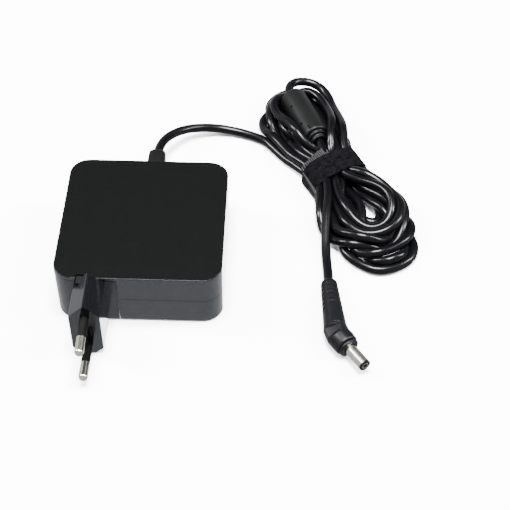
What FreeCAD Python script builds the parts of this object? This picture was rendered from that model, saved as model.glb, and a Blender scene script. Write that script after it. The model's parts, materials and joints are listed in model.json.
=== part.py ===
"""Laptop power adapter: square wall adapter with a slide-off mains plug module and a tied lead.

Millimetres, +Z up.  The origin is the centre of the base face.  The mains pins point along -Y,
and the low-voltage lead leaves the rear (+Y) and lies tied in a hank on the right (+X).
"""
import FreeCAD, Part
import math
import os

V = FreeCAD.Vector
os.makedirs("parts", exist_ok=True)

# ---------------------------------------------------------------- driving dimensions
SIDE = 75.0                 # square plan of the body
HEIGHT = 28.4               # body height
CORNER_R = 9.0              # vertical corners
WALL = 2.0                  # side and base walls
TOP_WALL = 2.2
PARTING_Z = 14.6            # joint between the two shells
TOP_EDGE_R = 0.5
BASE_EDGE_R = 1.2
LIP = 1.0                   # width of the lower shell's locating lip
SEAM_DEPTH = 0.3            # shadow grooves along the seams
SEAM_HALF_W = 0.15
SLIDE_GAP = 0.15            # clearance round the plug module and the latch

BAY_RIGHT = -9.0            # the module fills the front left corner up to here
BAY_DEPTH = 12.0            # how far the module reaches back from the front face
BAY_TOP = 26.8
BAY_WALL = 1.6              # walls of the bay inside the shells
COVER = 1.6                 # thickness of the module's rear cover

PLUG_X = -20.8              # centre of the two-pin plug
PLUG_Z = 14.55
PLUG_HALF_H = 17.65         # from the centre to the pointed end
PLUG_FLAT_H = 10.6          # half height of the parallel sides
PLUG_HALF_W = 6.85
PLUG_REACH = 19.2           # from the body's front face to the plug's pin face
PIN_R = 2.0
PIN_CORE_R = 1.5            # metal under the sleeve
PIN_LENGTH = 19.0
PIN_SLEEVE = 10.0
PIN_PITCH = 18.6            # between the pins at the pin face
PIN_TOE_IN = 1.66           # degrees; the pins lean together towards their tips

GLAND_X = 1.0
GLAND_Z = 14.0
GLAND_REACH = 20.0          # outside the rear face
GLAND_SIDE = 8.8
GLAND_NECK = 6.0            # square part in the wall

CORD_D = 4.5
CORD_R = CORD_D / 2

HANK_CENTRE = V(88.8, 57.5, 0)   # middle of the strap
HANK_HEADING = -62.6             # direction of the bundle, degrees from +X
WAIST_HALF_W = 13.8
WAIST_TOP = 11.8
WAIST_EDGE_R = 6.0          # upper edges of the tied waist
STRAP_WIDTH = 14.0
STRAP_THICK = 1.6
TAIL_REACH = 15.5            # free end of the strap beyond the middle

BEAD_R = 7.0
BEAD_LENGTH = 32.8
BEAD_Z = 10.8
BEAD_CAP = 3.0              # plastic over each end of the ferrite core
BEAD_NECK = ((1.2, 5.2), (3.6, 4.0))  # reach and radius of the steps at the lower end
FERRITE_R = 5.6

PLUG_ELBOW = V(88.7, -46.2, 5.6)  # where the two legs of the low-voltage plug meet
BOOT_START = V(85.8, -15.1, 3.9)  # where the cord enters the boot
BARREL_HEADING = -54.6            # degrees from +X
BOOT_R = (3.8, 5.3)               # at the cord and at the elbow
ELBOW_R = 5.6
ELBOW_ENTRY = 3.0                 # of the elbow before its middle
ELBOW_LEG = 8.9                   # from the elbow's middle to the collar
COLLAR_R = 4.9
BARREL_R = 2.75
BARREL_WALL = 0.5
BARREL_BORE_R = 1.25
BARREL_LENGTH = 11.3

HALF = SIDE / 2
FRONT = -HALF
BAY_BACK = FRONT + BAY_DEPTH


# ---------------------------------------------------------------- helpers
def save(name, shape):
    """Write one sub-part and report its volume."""
    solids = shape.Solids
    shape = solids[0] if len(solids) == 1 else Part.makeCompound(solids)
    shape.exportStep("parts/" + name + ".step")
    print("%-24s solids %d  volume %9.2f  valid %s" % (name, len(solids), shape.Volume, shape.isValid()))


def block(x0, x1, y0, y1, z0, z1):
    """Box between two corners."""
    return Part.makeBox(x1 - x0, y1 - y0, z1 - z0, V(x0, y0, z0))


def centred_block(centre, size):
    """Box of the given size about a centre."""
    return Part.makeBox(size.x, size.y, size.z, centre - size * 0.5)


def upright_edges(shape):
    return [e for e in shape.Edges if abs(e.tangentAt(e.FirstParameter).z) > 0.99]


def rounded_block(x0, x1, y0, y1, z0, z1, radius):
    """Box with its four upright edges rounded."""
    box = block(x0, x1, y0, y1, z0, z1)
    return box.makeFillet(radius, upright_edges(box))


def edges_at_z(shape, z):
    return [e for e in shape.Edges if abs(e.BoundBox.ZMin - z) < 1e-4 and abs(e.BoundBox.ZMax - z) < 1e-4]


def rod(start, end, radius, end_radius=None):
    """Round bar, or cone when the end radius differs."""
    axis = end - start
    if end_radius is None or abs(end_radius - radius) < 1e-6:
        return Part.makeCylinder(radius, axis.Length, start, axis)
    return Part.makeCone(radius, end_radius, axis.Length, start, axis)


def heading(angle):
    """Unit vector in the base plane."""
    return V(math.cos(math.radians(angle)), math.sin(math.radians(angle)), 0)


def route_edges(points):
    """Straight runs joined by the largest tangent arcs that the runs allow, with the arcs' radii."""
    edges, radii = [], []
    last = points[0]
    for before, corner, after in zip(points, points[1:], points[2:]):
        into, out = corner - before, after - corner
        reach = 0.45 * min(into.Length, out.Length)
        turn = into.getAngle(out)
        radius = reach / math.tan(turn / 2)
        to_before = (before - corner).normalize()
        to_after = (after - corner).normalize()
        centre_line = (to_before + to_after).normalize()
        middle = corner + centre_line * (radius / math.cos(turn / 2) - radius)
        arc_start, arc_end = corner + to_before * reach, corner + to_after * reach
        edges.append(Part.LineSegment(last, arc_start).toShape())
        edges.append(Part.Arc(arc_start, middle, arc_end).toShape())
        radii.append(radius)
        last = arc_end
    edges.append(Part.LineSegment(last, points[-1]).toShape())
    return edges, radii


def cord_tube(name, points, radius=CORD_R):
    """Round cord along a route, with its radii and its volume against section times length."""
    edges, radii = route_edges(points)
    path = Part.Wire(edges)
    ring = Part.Wire(Part.makeCircle(radius, points[0], points[1] - points[0]))
    tube = path.makePipeShell([ring], True, False)
    length = path.Length
    ratio = tube.Volume / (math.pi * radius ** 2 * length)
    print("%s: length %.1f, volume ratio %.4f, lowest point %.2f, radii in diameters %s" % (
        name, length, ratio, tube.BoundBox.ZMin, [round(r / (2 * radius), 1) for r in radii]))
    return tube


def hank_place(along, across, z=0.0):
    """Point given along and across the tied bundle."""
    axis = heading(HANK_HEADING)
    side = heading(HANK_HEADING + 90)
    return HANK_CENTRE + axis * along + side * across + V(0, 0, z)


def into_hank_frame(shape):
    """Turn a shape drawn with the bundle along +X into its place."""
    shape.rotate(V(0, 0, 0), V(0, 0, 1), HANK_HEADING)
    shape.translate(HANK_CENTRE)
    return shape


# ---------------------------------------------------------------- outer form
def body_form():
    """Outside of the closed body."""
    form = rounded_block(-HALF, HALF, -HALF, HALF, 0, HEIGHT, CORNER_R)
    form = form.makeFillet(TOP_EDGE_R, edges_at_z(form, HEIGHT))
    return form.makeFillet(BASE_EDGE_R, edges_at_z(form, 0))


def inner_form(inset, z0, z1):
    """Body outline moved inwards."""
    edge = HALF - inset
    return rounded_block(-edge, edge, -edge, edge, z0, z1, CORNER_R - inset)


def bay_form(grow):
    """Space of the plug module, grown towards the shells."""
    return block(-HALF - 5, BAY_RIGHT + grow, FRONT - 5, BAY_BACK + grow, -5, BAY_TOP + grow)


def bay_wall():
    """Block that leaves the bay's own walls standing in a shell's cavity."""
    grow = SLIDE_GAP + BAY_WALL
    return block(-HALF, BAY_RIGHT + grow, FRONT, BAY_BACK + grow, 0, HEIGHT)


def seam_ring(z0, z1):
    """Thin frame round the body's outline that cuts a shadow groove."""
    return block(-HALF - 1, HALF + 1, FRONT - 1, HALF + 1, z0, z1).cut(inner_form(SEAM_DEPTH, z0 - 1, z1 + 1))


def bay_seam(edge):
    """Groove in the front face beside the module, up to a distance past the module's side."""
    left, top = BAY_RIGHT - SEAM_HALF_W, BAY_TOP + SEAM_HALF_W
    return block(left, BAY_RIGHT + edge, FRONT - 1, FRONT + SEAM_DEPTH, -5, top)


def shared_openings():
    """Holes that both shells share: the gland's and the two blade slots."""
    half = GLAND_NECK / 2 + 0.05
    gland_hole = block(GLAND_X - half, GLAND_X + half, HALF - WALL - 1, HALF + 1,
                       GLAND_Z - half, GLAND_Z + half)
    slots = [block(x - 0.8, x + 0.8, BAY_BACK - 1, BAY_BACK + BAY_WALL + 1, BLADE_Z - 3.4, BLADE_Z + 3.4)
             for x in BLADE_X]
    return [gland_hole] + slots


# ---------------------------------------------------------------- plug module
BLADE_X = (PLUG_X - 6.4, PLUG_X + 6.4)
BLADE_Z = 14.5
BLADE_THICK = 0.8
BLADE_END = BAY_BACK + 9.0
STRIP_Y = FRONT + 4.0            # the conductors stand behind the pins here

LATCH_X = -24.9
LATCH_HALF_W = 1.4
LATCH_TAB_FRONT = FRONT - 2.7
NOTCH_HALF_W = 1.7
NOTCH_FLOOR = 21.8
NOTCH_FRONT = FRONT - 3.4
BARB_Y = (FRONT + 3.2, FRONT + 5.0)
SPRING_SEAT_Z = 14.0
LATCH_FOOT_Z = 22.0
LATCH_TRAVEL = 1.2


def notch_form():
    """Round-ended slot in front of the body in which the latch's tab travels."""
    straight = block(LATCH_X - NOTCH_HALF_W, LATCH_X + NOTCH_HALF_W,
                     NOTCH_FRONT + NOTCH_HALF_W, FRONT + WALL + 0.1, NOTCH_FLOOR, HEIGHT + 5)
    end = Part.makeCylinder(NOTCH_HALF_W, HEIGHT + 5 - NOTCH_FLOOR,
                            V(LATCH_X, NOTCH_FRONT + NOTCH_HALF_W, NOTCH_FLOOR))
    return straight.fuse(end)


def pin_line(side):
    """Start, end and direction of one mains pin; side is +1 for the upper pin."""
    lean = math.radians(PIN_TOE_IN)
    direction = V(0, -math.cos(lean), -side * math.sin(lean))
    face = V(PLUG_X, FRONT - PLUG_REACH, PLUG_Z + side * PIN_PITCH / 2)
    return face, face + direction * PIN_LENGTH, direction


def mains_pin(side):
    """Nickelled pin with a rounded tip and a thinner core that runs back to the conductor."""
    face, tip, direction = pin_line(side)
    core = rod(face - direction * (PLUG_REACH + 6), face + direction * PIN_SLEEVE, PIN_CORE_R)
    shank = rod(face + direction * PIN_SLEEVE, tip, PIN_R)
    rim = [e for e in shank.Edges if e.Closed and (e.CenterOfMass - tip).Length < 0.01]
    shank = shank.makeFillet(PIN_R * 0.8, rim)
    pin = core.fuse(shank)
    return pin.common(block(-HALF, HALF, FRONT - 60, STRIP_Y, -5, 40))


def pin_sleeve(side):
    """Insulating sleeve on the root of a pin."""
    face, _, direction = pin_line(side)
    start, end = face - direction, face + direction * PIN_SLEEVE
    tube = rod(start, end, PIN_R).cut(rod(start, end, PIN_CORE_R))
    return tube.cut(block(-HALF, HALF, FRONT - PLUG_REACH, 0, -5, 40))


def plug_nose():
    """Six-sided plug body, trimmed flush with the adapter's base."""
    w, flat, tall = PLUG_HALF_W, PLUG_FLAT_H, PLUG_HALF_H
    corners = [(-w, -flat), (0, -tall), (w, -flat), (w, flat), (0, tall), (-w, flat)]
    points = [V(PLUG_X + x, FRONT - PLUG_REACH, PLUG_Z + z) for x, z in corners]
    outline = Part.makePolygon(points + points[:1])
    nose = Part.Face(outline).extrude(V(0, PLUG_REACH + WALL, 0))
    along = [e for e in nose.Edges if abs(e.tangentAt(e.FirstParameter).y) > 0.99]
    nose = nose.makeFillet(0.8, along)
    return nose.common(block(-HALF, HALF, FRONT - 40, 0, 0, 60))


def plug_housing():
    """Corner block and plug nose in one moulding, open at the back."""
    corner = body_form().common(block(-HALF - 5, BAY_RIGHT, FRONT - 5, BAY_BACK - COVER, -5, BAY_TOP))
    inside = inner_form(WALL, WALL, BAY_TOP - WALL).common(
        block(-HALF, BAY_RIGHT - WALL, FRONT + WALL, BAY_BACK + 1, -5, 40))
    nose = plug_nose().common(block(-HALF, HALF, FRONT - 40, FRONT + WALL, 0, 60))
    above = block(-HALF, HALF, FRONT, FRONT + 20, BAY_TOP, 60)
    housing = corner.cut(inside).fuse(nose.cut(above))
    seat = block(LATCH_X - 1.7, LATCH_X + 1.7, FRONT + WALL, FRONT + 6.2, SPRING_SEAT_Z - 2, SPRING_SEAT_Z)
    housing = housing.fuse(seat).removeSplitter()
    window = block(LATCH_X - 1.6, LATCH_X + 1.6, BARB_Y[0] - 0.3, BARB_Y[1] + 0.3,
                   BAY_TOP - WALL - 1, BAY_TOP + 1)
    top_seam = seam_ring(BAY_TOP - SEAM_HALF_W, BAY_TOP + 1).cut(
        block(PLUG_X - PLUG_HALF_W - 0.1, PLUG_X + PLUG_HALF_W + 0.1, FRONT - 2, FRONT + 1, 0, 60))
    top_seam = top_seam.common(block(-HALF - 5, BAY_RIGHT, FRONT - 5, BAY_BACK, 0, 60))
    housing = housing.cut(notch_form()).cut(window).cut(top_seam).cut(bay_seam(1))
    for side in (1, -1):
        housing = housing.cut(mains_pin(side))
    return housing


def module_cover():
    """Rear cover of the module, with slots that hold the blades."""
    cover = body_form().common(block(-HALF - 5, BAY_RIGHT, BAY_BACK - COVER, BAY_BACK, -5, BAY_TOP))
    rim = inner_form(WALL + 0.1, WALL + 0.1, BAY_TOP - WALL - 0.1).common(
        block(-HALF, BAY_RIGHT - WALL - 0.1, BAY_BACK - COVER - 1.2, BAY_BACK - COVER, -5, 40))
    cover = cover.fuse(rim).removeSplitter()
    for x in BLADE_X:
        cover = cover.cut(block(x - BLADE_THICK / 2, x + BLADE_THICK / 2, BAY_BACK - 5, BAY_BACK + 1,
                                BLADE_Z - 3, BLADE_Z + 3))
    return cover


def module_blade(side):
    """Brass conductor from one pin to its blade; side is +1 for the upper pin and the right blade."""
    x = BLADE_X[1] if side > 0 else BLADE_X[0]
    pin_z = PLUG_Z + side * PIN_PITCH / 2 + side * math.tan(math.radians(PIN_TOE_IN)) * (PLUG_REACH + 4)
    half = BLADE_THICK / 2
    low, high = sorted((PLUG_X - side * 1.2, x + side * half))
    bar_bottom, bar_top = sorted((pin_z - side * 1.5, pin_z + side * 0.1))
    bar = block(low, high, STRIP_Y, STRIP_Y + BLADE_THICK, bar_bottom, bar_top)
    bottom, top = sorted((pin_z + side * 0.1, BLADE_Z))
    riser = block(x - half, x + half, STRIP_Y, STRIP_Y + 2, bottom, top)
    blade = block(x - half, x + half, STRIP_Y, BLADE_END, BLADE_Z - 3, BLADE_Z + 3)
    tip = [e for e in blade.Edges if abs(e.CenterOfMass.y - BLADE_END) < 1e-6 and e.Length < 1]
    return bar.fuse([riser, blade.makeFillet(1.2, tip)]).removeSplitter()


def release_latch():
    """Tab in the notch, with a barb that stands up into a guide slot of the upper shell."""
    x0, x1 = LATCH_X - LATCH_HALF_W, LATCH_X + LATCH_HALF_W
    web_z = NOTCH_FLOOR + LATCH_TRAVEL + 0.2
    web_top = BAY_TOP - WALL - 0.2
    barb_top = BAY_TOP + 0.9
    tab = block(x0, x1, LATCH_TAB_FRONT, FRONT + 1.7, web_z, HEIGHT - 0.5)
    front = [e for e in upright_edges(tab) if e.CenterOfMass.y < LATCH_TAB_FRONT + 0.01]
    tab = tab.makeFillet(1.2, front)
    web = block(x0, x1, FRONT + 1.0, FRONT + 2.6, web_z, web_top)
    foot = block(x0, x1, FRONT + 2.3, FRONT + 6.0, LATCH_FOOT_Z, web_top)
    barb = block(x0, x1, BARB_Y[0], BARB_Y[1], LATCH_FOOT_Z, barb_top)
    rear_top = [e for e in edges_at_z(barb, barb_top) if e.CenterOfMass.y > BARB_Y[1] - 0.1]
    return tab.fuse([web, foot, barb.makeChamfer(0.7, rear_top)]).removeSplitter()


def latch_spring():
    """Coil spring under the latch."""
    wire_r, coil_r, turns = 0.2, 1.1, 6
    height = LATCH_FOOT_Z - SPRING_SEAT_Z - 2 * wire_r
    helix = Part.makeHelix(height / turns, height, coil_r)
    section = Part.Wire(Part.makeCircle(wire_r, V(coil_r, 0, 0), V(0, 1, 0)))
    coil = Part.Wire(helix).makePipeShell([section], True, True)
    coil.translate(V(LATCH_X, FRONT + 4.1, SPRING_SEAT_Z + wire_r))
    return coil


# ---------------------------------------------------------------- shells
BOARD_Z = 4.6
BOARD_THICK = 1.6
DECK = BOARD_Z + BOARD_THICK     # top of the circuit board
PILLARS = ((-29, 29), (29, 29), (29, -29), (2, -29), (-29, -5))


def upper_shell():
    """Top cover with its part of the bay's walls."""
    shell = body_form().common(block(-50, 50, -50, 50, PARTING_Z, 40))
    cavity = inner_form(WALL, 0, HEIGHT - TOP_WALL)
    shell = shell.cut(cavity.cut(bay_wall())).cut(bay_form(SLIDE_GAP))
    left, right = LATCH_X - NOTCH_HALF_W, LATCH_X + NOTCH_HALF_W
    guide = block(left, right, FRONT, BARB_Y[1] + 0.2, BAY_TOP, BAY_TOP + 1.05)
    rim_notch = block(left, right, FRONT - 1, FRONT + WALL + 0.1, BAY_TOP - 1, 40)
    shell = shell.cut(guide).cut(rim_notch).cut(bay_seam(SLIDE_GAP + SEAM_HALF_W))
    shell = shell.cut(seam_ring(PARTING_Z - 1, PARTING_Z + SEAM_HALF_W))
    for hole in shared_openings():
        shell = shell.cut(hole)
    return shell


def lower_shell():
    """Base tray with a locating lip, the board's pillars and its part of the bay's walls."""
    shell = body_form().common(block(-50, 50, -50, 50, -5, PARTING_Z))
    cavity = inner_form(WALL, WALL, 40)
    shell = shell.cut(cavity.cut(bay_wall())).cut(bay_form(SLIDE_GAP))
    inside_lip = inner_form(WALL + LIP, PARTING_Z - 3, 40)
    lip = inner_form(WALL + 0.1, PARTING_Z - 2, PARTING_Z + 1.4).cut(inside_lip)
    keep_off = BAY_WALL + SLIDE_GAP + 0.2
    lip = lip.cut(block(-50, BAY_RIGHT + keep_off, -50, BAY_BACK + keep_off, 0, 40))
    lip = lip.cut(block(GLAND_X - 5.5, GLAND_X + 5.5, 30, 40, 0, 40))
    ledge = inner_form(WALL - 0.1, PARTING_Z - 2, PARTING_Z).cut(inside_lip)
    ledge = ledge.cut(block(-50, BAY_RIGHT + keep_off, -50, BAY_BACK + keep_off, 0, 40))
    ledge = ledge.cut(block(GLAND_X - 5.5, GLAND_X + 5.5, 30, 36, 0, 40))
    shell = shell.cut(seam_ring(PARTING_Z - SEAM_HALF_W, PARTING_Z + 1)).fuse([lip, ledge])
    shell = shell.cut(bay_seam(SLIDE_GAP + SEAM_HALF_W))
    for x, y in PILLARS:
        shell = shell.fuse(Part.makeCylinder(2.2, BOARD_Z - WALL, V(x, y, WALL)))
    for hole in shared_openings():
        shell = shell.cut(hole)
    return shell.removeSplitter()


# ---------------------------------------------------------------- electronics
def board_outline(inset, z0, thick):
    """Flat sheet that follows the cavity and leaves the bay and the contacts free."""
    sheet = inner_form(WALL + LIP + inset, z0, z0 + thick)
    return sheet.cut(block(-50, BAY_RIGHT + 4, -50, -9, -1, 40))


def insulating_sheet():
    """Thin sheet between the base and the board, with holes for the pillars."""
    sheet = board_outline(0.3, WALL + 0.3, 0.4)
    for x, y in PILLARS:
        sheet = sheet.cut(Part.makeCylinder(2.5, 5, V(x, y, WALL)))
    return sheet


def transformer_core(place):
    """Two-window ferrite core."""
    core = block(-12.5, 12.5, -3.5, 3.5, 0, 17)
    for side in (-1, 1):
        low, high = sorted((side * 3.6, side * 9.6))
        core = core.cut(block(low, high, -5, 5, 3, 14))
    core.translate(place)
    return core


def transformer_windings(place):
    """Taped coil on the centre leg."""
    coil = rounded_block(-9.5, 9.5, -9, 9, 3.1, 13.9, 4)
    coil = coil.cut(block(-3.6, 3.6, -3.5, 3.5, 0, 20))
    coil.translate(place)
    return coil


def ring(outer, inner, height, place):
    shape = Part.makeCylinder(outer, height).cut(Part.makeCylinder(inner, height))
    shape.translate(place)
    return shape


def choke_windings(place, core_outer, core_inner, height):
    """Two separate halves of winding round a toroid core."""
    halves = []
    for start in (15, 195):
        near, far = core_inner - 1, core_outer + 1
        corners = [V(near, 0, -1), V(far, 0, -1), V(far, 0, height + 1), V(near, 0, height + 1)]
        section = Part.Face(Part.makePolygon(corners + corners[:1]))
        half = section.revolve(V(0, 0, 0), V(0, 0, 1), 150)
        half.rotate(V(0, 0, 0), V(0, 0, 1), start)
        half.translate(place)
        halves.append(half.cut(ring(core_outer, core_inner, height, place)))
    return Part.makeCompound(halves)


def contact_fork(x):
    """Spring fork that grips one blade of the module."""
    half, leaf = BLADE_THICK / 2 + 0.1, 0.5
    y0, y1 = BLADE_END - 6.0, BLADE_END + 1.5
    leaves = [block(x + half, x + half + leaf, y0, y1, BLADE_Z - 2.5, BLADE_Z + 2.5),
              block(x - half - leaf, x - half, y0, y1, BLADE_Z - 2.5, BLADE_Z + 2.5)]
    web = block(x - half - leaf, x + half + leaf, y1 - leaf, y1, BLADE_Z - 2.5, BLADE_Z + 2.5)
    return web.fuse(leaves).removeSplitter()


def electronics():
    """Every piece on the circuit board, by node name."""
    z = DECK
    carrier_y = BLADE_END + 1.5
    core_place, choke_place = V(17, 4, z), V(-24, 1.5, z + 1)
    choke_outer, choke_inner, choke_height = 6, 3, 6
    wire_end_z = z + 0.6
    pieces = {
        "circuit_board": board_outline(0.3, BOARD_Z, BOARD_THICK),
        "insulating_sheet": insulating_sheet(),
        "contact_carrier": block(PLUG_X - 9, PLUG_X + 9, carrier_y, carrier_y + 3, WALL, 20),
        "contact_fork_left": contact_fork(BLADE_X[0]),
        "contact_fork_right": contact_fork(BLADE_X[1]),
        "transformer_core": transformer_core(core_place),
        "transformer_windings": transformer_windings(core_place),
        "bulk_capacitor": rod(V(-31, 25.5, z + 8), V(-3, 25.5, z + 8), 8),
        "choke_core": ring(choke_outer, choke_inner, choke_height, choke_place),
        "choke_windings": choke_windings(choke_place, choke_outer, choke_inner, choke_height),
        "line_filter_capacitor": block(-14, -6, -5, 13, z, z + 13),
        "mains_fuse": rod(V(-33, 11.5, z + 2), V(-25, 11.5, z + 2), 1.8),
        "inrush_thermistor": rod(V(-19, 12, z + 5), V(-16, 12, z + 5), 4.5),
        "bridge_rectifier": block(-3.5, 0, -6, 9, z, z + 11),
        "primary_heat_sink": block(0.2, 1.7, -20, 15, z, z + 17),
        "switching_transistor": block(1.8, 6.2, -18, -8, z, z + 15),
        "secondary_heat_sink": block(9, 33, -18, -16.5, z, z + 17),
        "output_rectifier": block(16, 26, -16.4, -12, z, z + 15),
        "safety_capacitor": rod(V(24, 17, z + 4.5), V(27, 17, z + 4.5), 4),
        "output_capacitor_front": rod(V(12, -25, z), V(12, -25, z + 16), 5),
        "output_capacitor_rear": rod(V(24, -25, z), V(24, -25, z + 16), 5),
        "optocoupler": block(8, 14.5, 18, 22.6, z, z + 3.5),
        "controller_chip": block(18, 23, 21, 25, z, z + 1.6),
        "output_wire_positive": rod(V(GLAND_X + 1.2, 33.2, GLAND_Z), V(GLAND_X + 1.2, 29, wire_end_z), 0.8),
        "output_wire_negative": rod(V(GLAND_X - 1.2, 33.2, GLAND_Z), V(GLAND_X - 1.2, 29, wire_end_z), 0.8),
    }
    return pieces


# ---------------------------------------------------------------- lead
def cable_gland():
    """Moulded strain relief: flange inside the wall, square neck, tapered body and blunt tip."""
    neck = centred_block(V(GLAND_X, HALF - WALL / 2, GLAND_Z), V(GLAND_NECK, WALL + 0.4, GLAND_NECK))
    flange = centred_block(V(GLAND_X, HALF - WALL - 0.8, GLAND_Z), V(9, 1.2, 9))
    stations = ((0, GLAND_SIDE), (GLAND_REACH - 1.8, GLAND_SIDE - 0.5), (GLAND_REACH, GLAND_SIDE - 2.2))
    sections = []
    for reach, side in stations:
        y, half = HALF + 0.1 + reach, side / 2
        corners = [V(GLAND_X - half, y, GLAND_Z - half), V(GLAND_X + half, y, GLAND_Z - half),
                   V(GLAND_X + half, y, GLAND_Z + half), V(GLAND_X - half, y, GLAND_Z + half)]
        sections.append(Part.makePolygon(corners + corners[:1]))
    body = Part.makeLoft(sections, True, True)
    sides = [e for e in body.Edges if abs(e.tangentAt(e.FirstParameter).y) > 0.8]
    body = body.makeFillet(1.0, sides)
    return body.fuse([neck, flange]).removeSplitter()


LEAD_ROUTE = [V(GLAND_X, HALF + 0.1 + GLAND_REACH, GLAND_Z), V(1.5, 65.0, 13.3), V(5.6, 74.7, 11.0),
              V(14.2, 83.9, 7.4), V(27.0, 88.6, 4.1), V(40.5, 87.4, 2.6), V(53.5, 82.0, 2.4)]

BEAD_TOP = V(67.5, 105.9, BEAD_Z)
BEAD_AXIS = heading(-67.1)
BEAD_ROUTE = [BEAD_TOP, V(65.8, 110.2, 10.7), V(65.6, 115.0, 10.2), V(67.9, 119.6, 9.4), V(72.8, 121.9, 8.6),
              V(78.8, 121.2, 7.8), V(83.9, 117.2, 7.2), V(87.0, 110.9, 6.8), V(88.8, 104.2, 6.4)]

PLUG_LEAD_ROUTE = [hank_place(STRAP_WIDTH / 2 - 1, -8.2, 9.2), V(86.0, 38.5, 9.9), V(85.1, 27.5, 9.3),
                   V(84.5, 14.5, 5.8), V(84.7, 3.0, 3.1), V(85.5, -6.8, 2.7), BOOT_START]

# half outlines of the coil's two lobes as (along, across), from the strap out and back
UPPER_LOBE = [(-7, -13.2), (-20, -17.5), (-37, -22.3), (-50, -18.8), (-60, -9), (-67, 3), (-64, 11.5),
              (-54, 19.5), (-42, 23.5), (-28, 21), (-7, 14.2)]
LOWER_LOBE = [(7, -13.6), (21, -17.8), (36, -21), (54, -19), (66, -11), (69, -2), (63, 9), (52, 17),
              (38, 19.5), (22, 19.5), (7, 14.8)]
UPPER_TOP = 7.0
LOWER_TOP = 8.0


def lobe(points, top):
    """One flat lobe of the coil with a rounded rim."""
    curve = Part.BSplineCurve()
    curve.interpolate([V(a, b, 0) for a, b in points])
    closing = Part.LineSegment(V(*points[-1], 0), V(*points[0], 0)).toShape()
    solid = Part.Face(Part.Wire([curve.toShape(), closing])).extrude(V(0, 0, top))
    rim = [e for e in edges_at_z(solid, top) if e.Length > 50]
    return solid.makeFillet(2.5, rim)


def waist_form(reach, grow):
    """Section of the tied waist with well rounded upper edges."""
    half, top = WAIST_HALF_W + grow, WAIST_TOP + grow
    form = block(-reach, reach, -half, half, STRAP_THICK - grow, top)
    along = [e for e in form.Edges if abs(e.tangentAt(e.FirstParameter).x) > 0.99]
    upper = [e for e in along if e.BoundBox.ZMax > top - 0.1]
    form = form.makeFillet(WAIST_EDGE_R + grow, upper)
    lower = [e for e in form.Edges if e.BoundBox.ZMax < STRAP_THICK - grow + 0.1
             and abs(e.tangentAt(e.FirstParameter).x) > 0.99]
    return form.makeFillet(2.0 + grow, lower)


def cable_hank():
    """Outer shape of the tied coil: two lobes, a narrow waist, and the groove that the bead lies in."""
    coil = waist_form(8, 0).fuse([lobe(UPPER_LOBE, UPPER_TOP), lobe(LOWER_LOBE, LOWER_TOP)])
    coil = into_hank_frame(coil)
    groove = rod(BEAD_TOP - BEAD_AXIS * 12, BEAD_TOP + BEAD_AXIS * (BEAD_LENGTH + 4), BEAD_R + 0.2)
    return coil.cut(groove).removeSplitter()


def hook_loop_strap():
    """Textile band round the waist, with its free end along the lower left side."""
    half = WAIST_HALF_W + STRAP_THICK
    band = waist_form(STRAP_WIDTH / 2, STRAP_THICK).cut(waist_form(8, 0))
    tail = block(-5, TAIL_REACH, -half - STRAP_THICK + 0.4, -half + 0.4, 1.2, 7.6)
    tail.rotate(V(-5, -half, 0), V(0, 0, 1), -3)
    return into_hank_frame(band.fuse(tail).removeSplitter())


def bead_overmould():
    """Moulded jacket of the ferrite core, with a stepped neck at the lower end."""
    end = BEAD_TOP + BEAD_AXIS * BEAD_LENGTH
    jacket = rod(BEAD_TOP, end, BEAD_R)
    jacket = jacket.makeFillet(1.8, [e for e in jacket.Edges if e.Closed])
    steps = [rod(end - BEAD_AXIS, end + BEAD_AXIS * reach, radius) for reach, radius in BEAD_NECK]
    core = rod(BEAD_TOP + BEAD_AXIS * BEAD_CAP, end - BEAD_AXIS * BEAD_CAP, FERRITE_R)
    bore = rod(BEAD_TOP - BEAD_AXIS, end + BEAD_AXIS * 5, CORD_R)
    return jacket.fuse(steps).cut(core).cut(bore)


def ferrite_core():
    """Sleeve of ferrite round the cord."""
    start, end = BEAD_TOP + BEAD_AXIS * BEAD_CAP, BEAD_TOP + BEAD_AXIS * (BEAD_LENGTH - BEAD_CAP)
    return rod(start, end, FERRITE_R).cut(rod(start, end, CORD_R))


def bead_cord():
    """Straight cord inside the bead and on to the strap."""
    end = BEAD_TOP + BEAD_AXIS * (BEAD_LENGTH + 12.4)
    return rod(BEAD_TOP, end, CORD_R)


# ---------------------------------------------------------------- low-voltage plug
BARREL_AXIS = heading(BARREL_HEADING)
COLLAR_START = PLUG_ELBOW + BARREL_AXIS * ELBOW_LEG
COLLAR_END = COLLAR_START + BARREL_AXIS * 1.4
BARREL_END = COLLAR_END + BARREL_AXIS * BARREL_LENGTH
TIP_RING = 0.8


def rim_at(shape, centre):
    """Closed edges about a point."""
    return [e for e in shape.Edges if e.Closed and (e.CenterOfMass - centre).Length < 0.1]


def plug_boot():
    """Tapered strain relief with grooves on both sides."""
    axis = (PLUG_ELBOW - BOOT_START).normalize()
    length = (PLUG_ELBOW - BOOT_START).Length - ELBOW_ENTRY
    boot = rod(BOOT_START, BOOT_START + axis * length, BOOT_R[0], BOOT_R[1])
    boot = boot.makeFillet(0.9, rim_at(boot, BOOT_START))
    side = axis.cross(V(0, 0, 1)).normalize()
    for step in range(6):
        along = 4.0 + 3.1 * step
        radius = BOOT_R[0] + (BOOT_R[1] - BOOT_R[0]) * along / length
        for sign in (-1, 1):
            groove = Part.makeBox(1.1, 1.6, 12, V(-0.55, -0.8, -6))
            groove.Placement = FreeCAD.Placement(BOOT_START + axis * along + side * sign * (radius + 0.15),
                                                 FreeCAD.Rotation(V(1, 0, 0), axis))
            boot = boot.cut(groove)
    return boot.cut(plug_elbow())


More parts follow.
